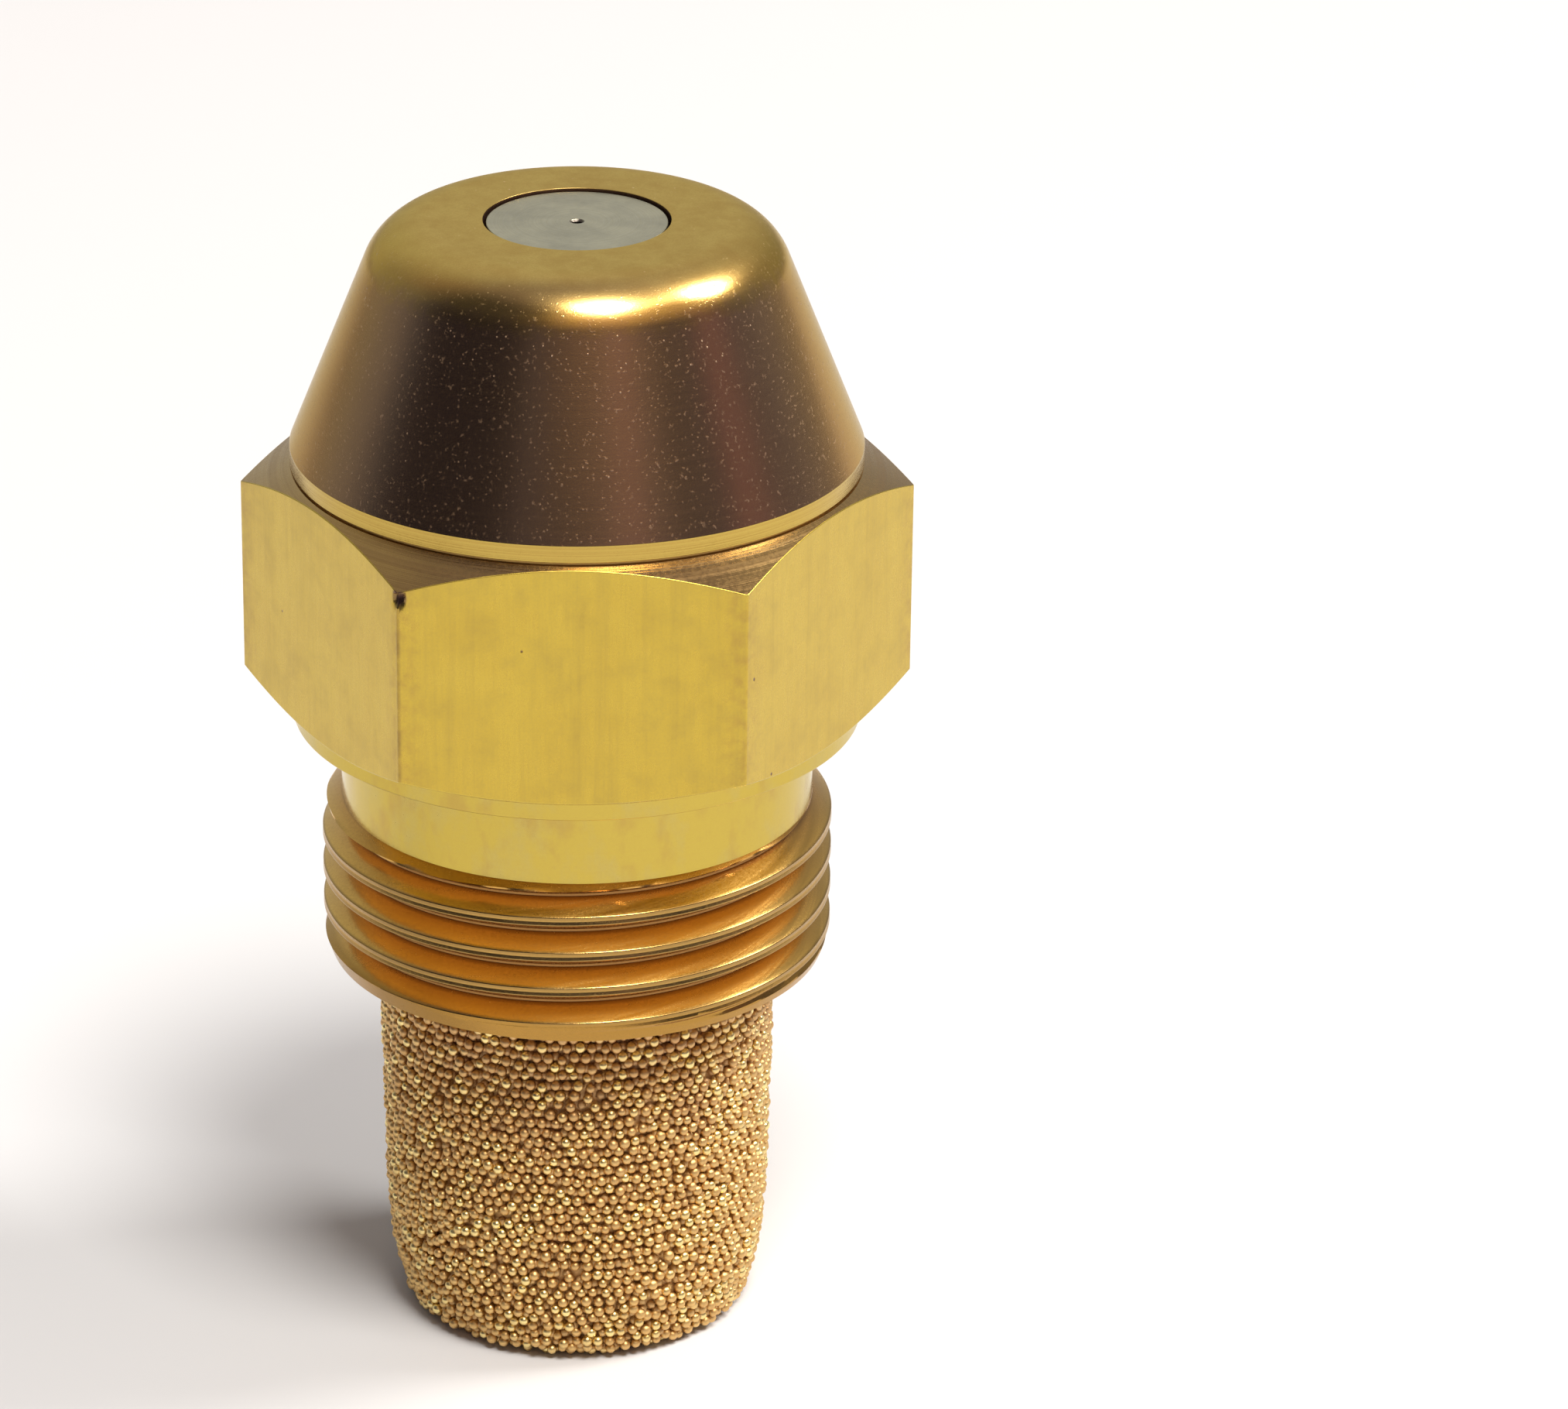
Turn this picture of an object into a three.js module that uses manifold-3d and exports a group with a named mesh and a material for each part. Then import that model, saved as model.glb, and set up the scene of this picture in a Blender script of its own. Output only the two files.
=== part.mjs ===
// Oil burner nozzle with a sintered bronze filter.
// Millimetres, +Z up along the spray axis. The origin is the centre of the filter's flat bottom,
// on which the nozzle stands. Five separate pieces, all coaxial:
//   nozzle_body      brass hexagon body with an outside 9/16-24 thread and a stepped bore
//   orifice_disc     steel disc with the orifice, seated in the body's nose from inside
//   distributor      steel cone with tangential slots, nested in the back of the disc
//   lock_screw       hollow brass screw that presses the distributor and disc into the nose
//   sintered_filter  bronze cup pressed into the thread end of the body

import * as THREE from 'three';
import { mergeVertices } from 'three/addons/utils/BufferGeometryUtils.js';
import Module from 'manifold-3d';

const wasm = await Module();
wasm.setup();

// ---- driving dimensions ----------------------------------------------------------------------

const OVERALL = 32.3;               // filter bottom to nozzle face
const BODY_END = 11.05;             // height of the body's thread-end face
const OUTER_FACETS = 48;
const INNER_FACETS = 36;
const RUNNING_GAP = 0.05;           // radial clearance between coaxial pieces
const SEAT_GAP = 0.02;              // axial clearance where two pieces seat on each other

// nose
const FACE_RADIUS = 4.1;
const NOSE_ROUND = 1.8;
const BAND_RADIUS = 7.86;
const BAND_TOP = 25.95;
const BAND_BOTTOM = 25.475;
const GROOVE_RADIUS = 7.7;

// hexagon
const ACROSS_FLATS = 16;
const HEX_CORNER_TOP = 24.65;
const HEX_CORNER_BOTTOM = 19.19;
const HEX_TOP_CHAMFER = THREE.MathUtils.degToRad(28);
const HEX_BOTTOM_CHAMFER = THREE.MathUtils.degToRad(26);
const COLLAR_RADIUS = 7.88;
const COLLAR_BOTTOM = 18.06;

// neck and outside thread, 9/16-24 UNEF
const NECK_RADIUS = 6.57;
const THREAD_TOP = 15.6;
const BODY_THREAD = {
  pitch: 25.4 / 24, crestRadius: 7.13, rootRadius: 6.49, crestWidth: 0.13, frontCrest: 11.535,
};
const THREAD_END_RADIUS = 6.8;
const END_CHAMFER_SLOPE = 0.66;     // radius gained per millimetre of height

// bore
const SOCKET_RADIUS = 5.7;
const SOCKET_TOP = 14.05;
const SCREW_BORE_RADIUS = 4.05;
const SCREW_BORE_TOP = 24.3;
const DISC_BORE_RADIUS = 3.45;
const DISC_SHOULDER = 30.9;
const NOSE_HOLE_RADIUS = 2.55;

// orifice disc
const DISC_BACK = 28.4;
const DISC_FACE = OVERALL - 0.07;
const DISC_NOSE_RADIUS = 2.46;
const ORIFICE_RADIUS = 0.14;
const ORIFICE_MOUTH_RADIUS = 0.19;
const ORIFICE_MOUTH_DEPTH = 0.06;
const ORIFICE_BOTTOM = 31.85;
const SWIRL_RADIUS = 0.5;
const SWIRL_BOTTOM = 31.3;
const SWIRL_TOP = 31.55;
const RECESS_RADIUS = 2.95;

// distributor
const DISTRIBUTOR_RADIUS = 2.8;
const DISTRIBUTOR_SHOULDER = 26.6;
const STEM_RADIUS = 1.7;
const SLOT_COUNT = 4;
const SLOT_WIDTH = 0.4;
const SLOT_DEPTH = 0.35;
const SLOT_OFFSET = 0.3;            // how far a slot's centre line passes from the axis

// lock screw, M8 x 0.75
const SCREW_BOTTOM = 17.2;
const SCREW_TOP = 23.6;
const SCREW_THREAD = {
  pitch: 0.75, crestRadius: 4, rootRadius: 3.6, crestWidth: 0.1, frontCrest: 17.3,
};
const SCREW_THREAD_TOP = 21.2;
const SCREW_NOSE_RADIUS = 2.6;
const SCREW_BORE = 1.2;
const SCREW_BORE_END = 22.9;
const CROSS_HOLE_RADIUS = 0.55;
const CROSS_HOLE_HEIGHT = 22.2;
const DRIVER_SLOT = { width: 1.3, depth: 1.6 };

// sintered filter
const FILTER_TOP = 14;
const FILTER_RADIUS = SOCKET_RADIUS - 0.06;
const FILTER_BORE = 4.3;
const FILTER_FLOOR = 1.7;
const FILTER_ROUND = 0.6;
const FILTER_FOOT_RADIUS = 5.08;    // where the bottom's round begins
const FILTER_TAPER = [[5.36, 1.82], [5.5, 3.8]];
const FILTER_FLOOR_BEVEL = 0.5;

// ---- solids ----------------------------------------------------------------------------------

/** A closed three.js geometry as a manifold solid, with its faces turned outward. */
function solid(geometry) {
  const bare = geometry.index ? geometry.toNonIndexed() : geometry.clone();
  bare.deleteAttribute('normal');
  bare.deleteAttribute('uv');
  const merged = mergeVertices(bare, 1e-5);
  const at = merged.attributes.position.array;
  const triangles = [];
  let sixVolumes = 0;
  for (let i = 0; i < merged.index.count; i += 3) {
    const [a, b, c] = merged.index.array.slice(i, i + 3);
    if (a === b || b === c || c === a) continue;
    triangles.push([a, b, c]);
    const [p, q, r] = [a, b, c].map((k) => new THREE.Vector3(at[3 * k], at[3 * k + 1], at[3 * k + 2]));
    sixVolumes += p.dot(q.cross(r));
  }
  const outward = sixVolumes > 0 ? triangles : triangles.map(([a, b, c]) => [a, c, b]);
  return new wasm.Manifold(new wasm.Mesh({
    numProp: 3,
    vertProperties: new Float32Array(at),
    triVerts: new Uint32Array(outward.flat()),
  }));
}

/** A manifold solid as a named mesh with its own material. */
function piece(name, shape, look) {
  const { vertProperties, triVerts } = shape.getMesh();
  const geometry = new THREE.BufferGeometry();
  geometry.setAttribute('position', new THREE.BufferAttribute(vertProperties, 3));
  geometry.setIndex(new THREE.BufferAttribute(triVerts, 1));
  const mesh = new THREE.Mesh(geometry, new THREE.MeshStandardMaterial(look));
  mesh.name = name;
  return mesh;
}

/** A solid turned about Z from [radius, height] corners, which start and end on the axis. */
function turned(corners, facets) {
  const outline = corners.map(([radius, height]) => new THREE.Vector2(radius, height));
  return solid(new THREE.LatheGeometry(outline, facets).rotateX(Math.PI / 2));
}

/** A solid ring turned about Z from the corners of a closed section. */
const turnedRing = (corners, facets) => turned([...corners, corners[0]], facets);

/** Corners of an arc in the [radius, height] plane, with angles measured from the radius axis. */
function arc(centreRadius, centreHeight, radius, from, to, steps) {
  return Array.from({ length: steps + 1 }, (_, i) => {
    const angle = from + (to - from) * i / steps;
    return [centreRadius + radius * Math.cos(angle), centreHeight + radius * Math.sin(angle)];
  });
}

/** A right-hand helix about Z. Its frames keep the swept section upright and facing the axis. */
class Helix extends THREE.Curve {
  constructor(bottom, turns, pitch) {
    super();
    this.bottom = bottom;
    this.turns = turns;
    this.pitch = pitch;
  }

  angle(t) {
    return -Math.PI / 2 + 2 * Math.PI * this.turns * t;
  }

  getPoint(t, target = new THREE.Vector3()) {
    return target.set(0, 0, this.bottom + this.pitch * this.turns * t);
  }

  computeFrenetFrames(segments) {
    const frames = { tangents: [], normals: [], binormals: [] };
    for (let i = 0; i <= segments; i += 1) {
      const angle = this.angle(i / segments);
      frames.normals.push(new THREE.Vector3(Math.cos(angle), Math.sin(angle), 0));
      frames.binormals.push(new THREE.Vector3(0, 0, 1));
      frames.tangents.push(new THREE.Vector3(-Math.sin(angle), Math.cos(angle), 0));
    }
    return frames;
  }
}

/** The helical ridge of a 60 degree thread, sunk into its core, from below one height to above another. */
function threadRidge(thread, low, high, facets) {
  const flank = (thread.crestRadius - thread.rootRadius) * Math.tan(Math.PI / 6);
  const sunk = thread.rootRadius - 0.25;
  const half = thread.crestWidth / 2;
  const section = new THREE.Shape([
    new THREE.Vector2(sunk, -half - flank),
    new THREE.Vector2(thread.rootRadius, -half - flank),
    new THREE.Vector2(thread.crestRadius, -half),
    new THREE.Vector2(thread.crestRadius, half),
    new THREE.Vector2(thread.rootRadius, half + flank),
    new THREE.Vector2(sunk, half + flank),
  ]);
  const below = Math.ceil((thread.frontCrest - low) / thread.pitch) + 1;
  const bottom = thread.frontCrest - below * thread.pitch;
  const turns = Math.ceil((high - bottom) / thread.pitch) + 1;
  return solid(new THREE.ExtrudeGeometry(section, {
    steps: turns * facets, bevelEnabled: false, extrudePath: new Helix(bottom, turns, thread.pitch),
  }));
}

/** A round bar across the axis, through it, at a height. */
function crossBar(radius, length, height, turn) {
  const bar = new THREE.CylinderGeometry(radius, radius, length, 16);
  return solid(bar.rotateZ(Math.PI / 2).rotateZ(turn).translate(0, 0, height));
}

// ---- nozzle body -----------------------------------------------------------------------------

/** Where the nose's cone, rising from the band, meets the round of the face's edge. */
function noseRound() {
  const centre = new THREE.Vector2(FACE_RADIUS, OVERALL - NOSE_ROUND);
  const toBand = new THREE.Vector2(BAND_RADIUS, BAND_TOP).sub(centre);
  const tangent = Math.atan2(toBand.y, toBand.x) + Math.acos(NOSE_ROUND / toBand.length());
  return arc(centre.x, centre.y, NOSE_ROUND, tangent, Math.PI / 2, 7);
}

function nozzleBody() {
  const turnedBlank = turned([
    [0, BODY_END],
    [BODY_THREAD.rootRadius, BODY_END],
    [BODY_THREAD.rootRadius, THREAD_TOP],
    [NECK_RADIUS, THREAD_TOP],
    [NECK_RADIUS, COLLAR_BOTTOM],
    [COLLAR_RADIUS, COLLAR_BOTTOM],
    [COLLAR_RADIUS, HEX_CORNER_BOTTOM],
    [GROOVE_RADIUS, HEX_CORNER_BOTTOM],
    [GROOVE_RADIUS, BAND_BOTTOM],
    [BAND_RADIUS, BAND_BOTTOM],
    [BAND_RADIUS, BAND_TOP],
    ...noseRound(),
    [0, OVERALL],
  ], OUTER_FACETS);

  const corner = ACROSS_FLATS / 2 / Math.cos(Math.PI / 6);
  const overCorner = corner + 0.2;
  const topAt = (radius) => HEX_CORNER_TOP + (corner - radius) * Math.tan(HEX_TOP_CHAMFER);
  const bottomAt = (radius) => HEX_CORNER_BOTTOM - (corner - radius) * Math.tan(HEX_BOTTOM_CHAMFER);
  const hexSection = new THREE.Shape(Array.from({ length: 6 }, (_, i) => (
    new THREE.Vector2(corner * Math.cos(i * Math.PI / 3), corner * Math.sin(i * Math.PI / 3))
  )));
  const hexBar = new THREE.ExtrudeGeometry(hexSection, { depth: OVERALL, bevelEnabled: false });
  const chamferedHexagon = solid(hexBar).intersect(turned([
    [0, bottomAt(COLLAR_RADIUS)],
    [COLLAR_RADIUS, bottomAt(COLLAR_RADIUS)],
    [overCorner, bottomAt(overCorner)],
    [overCorner, topAt(overCorner)],
    [BAND_RADIUS, topAt(BAND_RADIUS)],
    [0, topAt(BAND_RADIUS)],
  ], OUTER_FACETS));

  const overCrest = BODY_THREAD.crestRadius + 0.1;
  const chamferedRidge = threadRidge(BODY_THREAD, BODY_END, THREAD_TOP, OUTER_FACETS).intersect(turned([
    [0, BODY_END],
    [THREAD_END_RADIUS, BODY_END],
    [overCrest, BODY_END + (overCrest - THREAD_END_RADIUS) / END_CHAMFER_SLOPE],
    [overCrest, THREAD_TOP - (overCrest - NECK_RADIUS) / END_CHAMFER_SLOPE],
    [NECK_RADIUS, THREAD_TOP],
    [0, THREAD_TOP],
  ], OUTER_FACETS));

  const beyond = 1;
  const steppedBore = turned([
    [0, BODY_END - beyond],
    [SOCKET_RADIUS, BODY_END - beyond],
    [SOCKET_RADIUS, SOCKET_TOP],
    [SCREW_BORE_RADIUS, SOCKET_TOP],
    [SCREW_BORE_RADIUS, SCREW_BORE_TOP],
    [DISC_BORE_RADIUS, SCREW_BORE_TOP + SCREW_BORE_RADIUS - DISC_BORE_RADIUS],
    [DISC_BORE_RADIUS, DISC_SHOULDER],
    [NOSE_HOLE_RADIUS, DISC_SHOULDER],
    [NOSE_HOLE_RADIUS, OVERALL + beyond],
    [0, OVERALL + beyond],
  ], OUTER_FACETS);

  return turnedBlank.add(chamferedHexagon).add(chamferedRidge).subtract(steppedBore);
}

// ---- orifice disc ----------------------------------------------------------------------------

function orificeDisc() {
  const flangeRadius = DISC_BORE_RADIUS - RUNNING_GAP;
  return turnedRing([
    [RECESS_RADIUS, DISC_BACK],
    [flangeRadius, DISC_BACK],
    [flangeRadius, DISC_SHOULDER - SEAT_GAP],
    [DISC_NOSE_RADIUS, DISC_SHOULDER - SEAT_GAP],
    [DISC_NOSE_RADIUS, DISC_FACE],
    [ORIFICE_MOUTH_RADIUS, DISC_FACE],
    [ORIFICE_RADIUS, DISC_FACE - ORIFICE_MOUTH_DEPTH],
    [ORIFICE_RADIUS, ORIFICE_BOTTOM],
    [SWIRL_RADIUS, SWIRL_TOP],
    [SWIRL_RADIUS, SWIRL_BOTTOM],
  ], INNER_FACETS);
}

// ---- distributor -----------------------------------------------------------------------------

function distributor() {
  const recessSlope = (SWIRL_BOTTOM - DISC_BACK) / (RECESS_RADIUS - SWIRL_RADIUS);
  const coneDrop = RUNNING_GAP * Math.hypot(1, recessSlope);
  const coneAt = (radius) => SWIRL_BOTTOM - (radius - SWIRL_RADIUS) * recessSlope - coneDrop;
  const stemBottom = SCREW_TOP + SEAT_GAP;
  const stemChamfer = 0.2;
  const cone = turned([
    [0, stemBottom],
    [STEM_RADIUS - stemChamfer, stemBottom],
    [STEM_RADIUS, stemBottom + stemChamfer],
    [STEM_RADIUS, DISTRIBUTOR_SHOULDER],
    [DISTRIBUTOR_RADIUS, DISTRIBUTOR_SHOULDER],
    [DISTRIBUTOR_RADIUS, coneAt(DISTRIBUTOR_RADIUS)],
    [SWIRL_RADIUS, coneAt(SWIRL_RADIUS)],
    [0, coneAt(SWIRL_RADIUS)],
  ], INNER_FACETS);

  const cutter = { length: 6, height: 2 };
  const middleRadius = (DISTRIBUTOR_RADIUS + SWIRL_RADIUS) / 2;
  const slope = Math.atan(recessSlope);
  const slots = Array.from({ length: SLOT_COUNT }, (_, i) => {
    const bar = new THREE.BoxGeometry(cutter.length, SLOT_WIDTH, cutter.height);
    bar.translate(0, SLOT_OFFSET, cutter.height / 2 - SLOT_DEPTH).rotateY(slope);
    bar.translate(middleRadius, 0, coneAt(middleRadius)).rotateZ(2 * Math.PI * i / SLOT_COUNT);
    return solid(bar);
  });
  return slots.reduce((shape, slot) => shape.subtract(slot), cone);
}

// ---- lock screw ------------------------------------------------------------------------------

function lockScrew() {
  const { rootRadius, crestRadius } = SCREW_THREAD;
  const core = turned([
    [0, SCREW_BOTTOM],
    [rootRadius, SCREW_BOTTOM],
    [rootRadius, SCREW_THREAD_TOP],
    [SCREW_NOSE_RADIUS, SCREW_THREAD_TOP],
    [SCREW_NOSE_RADIUS, SCREW_TOP],
    [0, SCREW_TOP],
  ], INNER_FACETS);
  const over = crestRadius + 0.1;
  const entry = over - rootRadius;
  const ridge = threadRidge(SCREW_THREAD, SCREW_BOTTOM, SCREW_THREAD_TOP, INNER_FACETS).intersect(turned([
    [0, SCREW_BOTTOM],
    [rootRadius, SCREW_BOTTOM],
    [over, SCREW_BOTTOM + entry],
    [over, SCREW_THREAD_TOP - entry],
    [rootRadius, SCREW_THREAD_TOP],
    [0, SCREW_THREAD_TOP],
  ], INNER_FACETS));

  const oilBore = turned([
    [0, SCREW_BOTTOM - 1],
    [SCREW_BORE, SCREW_BOTTOM - 1],
    [SCREW_BORE, SCREW_BORE_END],
    [0, SCREW_BORE_END],
  ], INNER_FACETS);
  const driverSlot = new THREE.BoxGeometry(4 * crestRadius, DRIVER_SLOT.width, 2 * DRIVER_SLOT.depth);
  return core.add(ridge)
    .subtract(oilBore)
    .subtract(solid(driverSlot.translate(0, 0, SCREW_BOTTOM)))
    .subtract(crossBar(CROSS_HOLE_RADIUS, 4 * SCREW_NOSE_RADIUS, CROSS_HOLE_HEIGHT, 0))
    .subtract(crossBar(CROSS_HOLE_RADIUS, 4 * SCREW_NOSE_RADIUS, CROSS_HOLE_HEIGHT, Math.PI / 2));
}

// ---- sintered filter -------------------------------------------------------------------------

function sinteredFilter() {
  return turned([
    [0, 0],
    ...arc(FILTER_FOOT_RADIUS - FILTER_ROUND, FILTER_ROUND, FILTER_ROUND, -Math.PI / 2, 0, 4),
    ...FILTER_TAPER,
    [FILTER_RADIUS, BODY_END],
    [FILTER_RADIUS, FILTER_TOP],
    [FILTER_BORE, FILTER_TOP],
    [FILTER_BORE, FILTER_FLOOR + FILTER_FLOOR_BEVEL],
    [FILTER_BORE - FILTER_FLOOR_BEVEL, FILTER_FLOOR],
    [0, FILTER_FLOOR],
  ], OUTER_FACETS);
}

// ---- assembly --------------------------------------------------------------------------------

const oilBurnerNozzle = new THREE.Group();
oilBurnerNozzle.add(
  piece('nozzle_body', nozzleBody(), { color: 0xc8a24a, roughness: 0.3, metalness: 1 }),
  piece('orifice_disc', orificeDisc(), { color: 0x98937f, roughness: 0.45, metalness: 1 }),
  piece('distributor', distributor(), { color: 0xa8a8a4, roughness: 0.35, metalness: 1 }),
  piece('lock_screw', lockScrew(), { color: 0xc0983f, roughness: 0.35, metalness: 1 }),
  piece('sintered_filter', sinteredFilter(), { color: 0xa27a3c, roughness: 0.4, metalness: 1 }),
);

export default oilBurnerNozzle;
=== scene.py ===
"""The looks of an oil burner nozzle with a sintered bronze filter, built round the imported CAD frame."""
import math

import bmesh
import bpy
import numpy as np
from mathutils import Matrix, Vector, kdtree


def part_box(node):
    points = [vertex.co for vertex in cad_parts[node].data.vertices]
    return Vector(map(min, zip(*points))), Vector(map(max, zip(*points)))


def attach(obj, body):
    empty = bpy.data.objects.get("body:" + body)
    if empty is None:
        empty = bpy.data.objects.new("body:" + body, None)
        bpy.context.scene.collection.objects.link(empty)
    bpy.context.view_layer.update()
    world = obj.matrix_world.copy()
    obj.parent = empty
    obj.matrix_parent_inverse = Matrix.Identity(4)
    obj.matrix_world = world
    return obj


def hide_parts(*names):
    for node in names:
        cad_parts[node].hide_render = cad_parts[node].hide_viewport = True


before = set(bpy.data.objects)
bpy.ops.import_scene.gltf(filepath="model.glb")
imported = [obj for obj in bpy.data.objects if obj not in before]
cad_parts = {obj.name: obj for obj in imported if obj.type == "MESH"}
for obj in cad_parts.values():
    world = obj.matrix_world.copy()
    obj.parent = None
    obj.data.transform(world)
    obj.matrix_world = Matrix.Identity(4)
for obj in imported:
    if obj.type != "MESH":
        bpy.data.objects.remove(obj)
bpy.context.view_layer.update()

MM = 0.001

# ---- sizes, in millimetres, in the row frame ---------------------------------------------------

BODY_LOW, BODY_HIGH = (np.array(c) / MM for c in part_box("nozzle_body"))
DISC_LOW, DISC_HIGH = (np.array(c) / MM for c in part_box("orifice_disc"))
_, FILTER_HIGH = (np.array(c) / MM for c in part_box("sintered_filter"))

FACE_Z = BODY_HIGH[2]
END_Z = BODY_LOW[2]
FACE_RADIUS = 4.1
NOSE_ROUND = 1.8
BAND_RADIUS = 7.86
BAND_TOP = 25.95
BAND_BOTTOM = 25.475
GROOVE_RADIUS = 7.78
GROOVE_REACH = 0.01                     # how far the groove under the band runs past its two edges
HALF_FLATS = 8.0
HEX_CORNER = HALF_FLATS / math.cos(math.pi / 6)
HEX_CORNER_TOP = 24.65
HEX_CORNER_BOTTOM = 19.19
HEX_TOP_CHAMFER = math.radians(28)
HEX_BOTTOM_CHAMFER = math.radians(26)
HEX_EDGE_ROUND = 0.07
NOTCH_ANGLE = math.radians(240)         # the hexagon corner with a small dent
NOTCH_SIZE = 0.24
NOTCH_HEIGHT = 1.9 * NOTCH_SIZE
NOTCH_DEPTH = 0.8 * NOTCH_SIZE
NOTCH_REACH = 0.005                     # the dent ends this far above the corner's top
NOTCH_ROWS = (0.15, 0.25, 0.35, 0.45, 0.6)      # extra rows below the corner's top, to carry the dent
COLLAR_RADIUS = 7.88
COLLAR_BOTTOM = 18.06
NECK_RADIUS = 6.57
THREAD_TOP = 15.6
NECK_END_GAP = 0.06                     # the neck's last row lies this far above the thread
THREAD_END_RADIUS = 6.95
END_CHAMFER_SLOPE = 0.36                # radius gained per millimetre of height
TOP_CHAMFER_SLOPE = 1.6
LAND_HEIGHT = 0.48                      # smooth land at the thread's end, and the height over which it fades
LAND_FADE = 0.25
LAND_TONE = (END_Z + 0.5, END_Z + 0.62)         # the land's colour ends between these heights
PITCH = 25.4 / 24
CREST_RADIUS = 7.13
ROOT_RADIUS = 6.49
RIDGE_GAP, SEAM_DEPTH = 0.235, 0.045    # the two ridges of a rolled crest and the seam between them
FRONT_CREST = 11.535                    # height of one crest at the front
PROFILE_STEP = 0.09                     # longest step along the thread's section
SOCKET_RADIUS = 5.7
SOCKET_TOP = 14.05
SCREW_BORE_RADIUS = 4.05
SCREW_BORE_TOP = 24.3
DISC_BORE_RADIUS = 3.45
DISC_SHOULDER = 30.9
NOSE_HOLE_RADIUS = 2.55

DISC_SHOULDER_GAP = 0.02
DISC_NOSE_RADIUS = 2.46
DISC_RECESS_RADIUS = 2.95
MOUTH_RADIUS, MOUTH_DEPTH = 0.2, 0.06
ORIFICE_RADIUS, ORIFICE_BOTTOM = 0.14, 31.85
SWIRL_RADIUS, SWIRL_TOP, SWIRL_BOTTOM = 0.5, 31.55, 31.3

FILTER_OUTLINE = [(4.48, 0.0), (5.08, 0.6), (5.36, 1.82), (5.5, 3.8), (5.64, END_Z)]
FILTER_BORE = 4.3
FILTER_FLOOR = 1.7
FILTER_FLOOR_BEVEL = 0.5
CORE_INSET = 0.36
BALL_RADIUS = 0.157
BALL_SPACING = 0.342
ROW_SPACING = 0.87 * BALL_SPACING
ROW_MARGIN = 0.3 * BALL_SPACING
INNER_INSET = BALL_RADIUS + 0.13        # depth of the second layer's centres
BALLS_SPLIT = 0.4 * FILTER_HIGH[2]      # the outer balls are two pieces, above and below this height
BALL_ROOM = 1.97 * BALL_RADIUS          # balls closer than this push each other apart
PUSH_SHARE, PUSH_ROUNDS = 0.4, 8
FINE, COARSE = 2, 1                     # divisions of a ball's mesh

# ---- meshes ------------------------------------------------------------------------------------


def mesh_object(name, points_mm, faces, slots=None, materials=(), sharp=math.radians(25)):
    """A smooth-shaded mesh object from points in millimetres and faces, with a material index per face."""
    mesh = bpy.data.meshes.new(name)
    mesh.from_pydata((np.asarray(points_mm) * MM).tolist(), [], [list(map(int, f)) for f in faces])
    for material in materials:
        mesh.materials.append(material)
    if slots is not None:
        mesh.polygons.foreach_set("material_index", np.asarray(slots, np.int32))
    mesh.polygons.foreach_set("use_smooth", np.ones(len(mesh.polygons), bool))
    mesh.validate()
    mesh.set_sharp_from_angle(angle=sharp)
    obj = bpy.data.objects.new(name, mesh)
    bpy.context.scene.collection.objects.link(obj)
    return obj


def unit(vectors):
    return vectors / np.maximum(np.linalg.norm(vectors, axis=-1, keepdims=True), 1e-12)


def filleted(corners, radii, closed, steps=4, support=1.5):
    """Corners (K, columns, 2), each rounded by an arc, with a row beside the arc that keeps the wide faces'
    shading flat. Returns the points and each one's corner number."""
    count = len(corners)
    points, owners = [], []
    for k in range(count):
        here = corners[k]
        if radii[k] <= 0 or (not closed and k in (0, count - 1)):
            points.append(here)
            owners.append(k)
            continue
        to_last, to_next = corners[k - 1] - here, corners[(k + 1) % count] - here
        u, v = unit(to_last), unit(to_next)
        half = np.arccos(np.clip((u * v).sum(-1, keepdims=True), -0.9999, 0.9999)) / 2
        room = 0.3 * np.minimum(np.linalg.norm(to_last, axis=-1, keepdims=True),
                                 np.linalg.norm(to_next, axis=-1, keepdims=True))
        tangent = np.minimum(radii[k] / np.tan(half), room)
        radius = tangent * np.tan(half)
        centre = here + unit(u + v) * radius / np.sin(half)
        start, end = here + u * tangent - centre, here + v * tangent - centre
        sweep = math.pi - 2 * half
        if support:
            points.append(here + u * tangent * support)
            owners.append(k)
        for i in range(steps + 1):
            s = i / steps
            arm = np.sin((1 - s) * sweep) * start + np.sin(s * sweep) * end
            points.append(centre + arm / np.maximum(np.sin(sweep), 1e-9))
            owners.append(k)
        if support:
            points.append(here + v * tangent * support)
            owners.append(k)
    return np.array(points), np.array(owners)


def around(section, angles):
    """Points in space from (radius, height) pairs, one column for each angle."""
    radius, height = section[..., 0], section[..., 1]
    return np.stack([radius * np.cos(angles), radius * np.sin(angles), height], -1)


def grid_faces(rows, columns, close_rows, close_columns):
    """Quads between neighbouring rows and columns, numbered row by row."""
    r = np.arange(rows if close_rows else rows - 1)
    c = np.arange(columns if close_columns else columns - 1)
    r, c = (g.ravel() for g in np.meshgrid(r, c, indexing="ij"))
    r2, c2 = (r + 1) % rows, (c + 1) % columns
    return np.stack([r * columns + c, r * columns + c2, r2 * columns + c2, r2 * columns + c], 1), r


def welded(points, faces, tags, tolerance=1e-5):
    """Merges equal points and drops the faces that collapse."""
    keys = np.round(points / tolerance).astype(np.int64)
    _, first, inverse = np.unique(keys, axis=0, return_index=True, return_inverse=True)
    inverse = inverse.ravel()
    kept_faces, kept_tags = [], []
    for face, tag in zip(inverse[faces], tags):
        loop = [v for i, v in enumerate(face) if v != face[i - 1]]
        if len(loop) >= 3 and len(set(loop)) == len(loop):
            kept_faces.append(loop)
            kept_tags.append(tag)
    return points[first], kept_faces, kept_tags


# ---- procedural metals -------------------------------------------------------------------------


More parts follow.
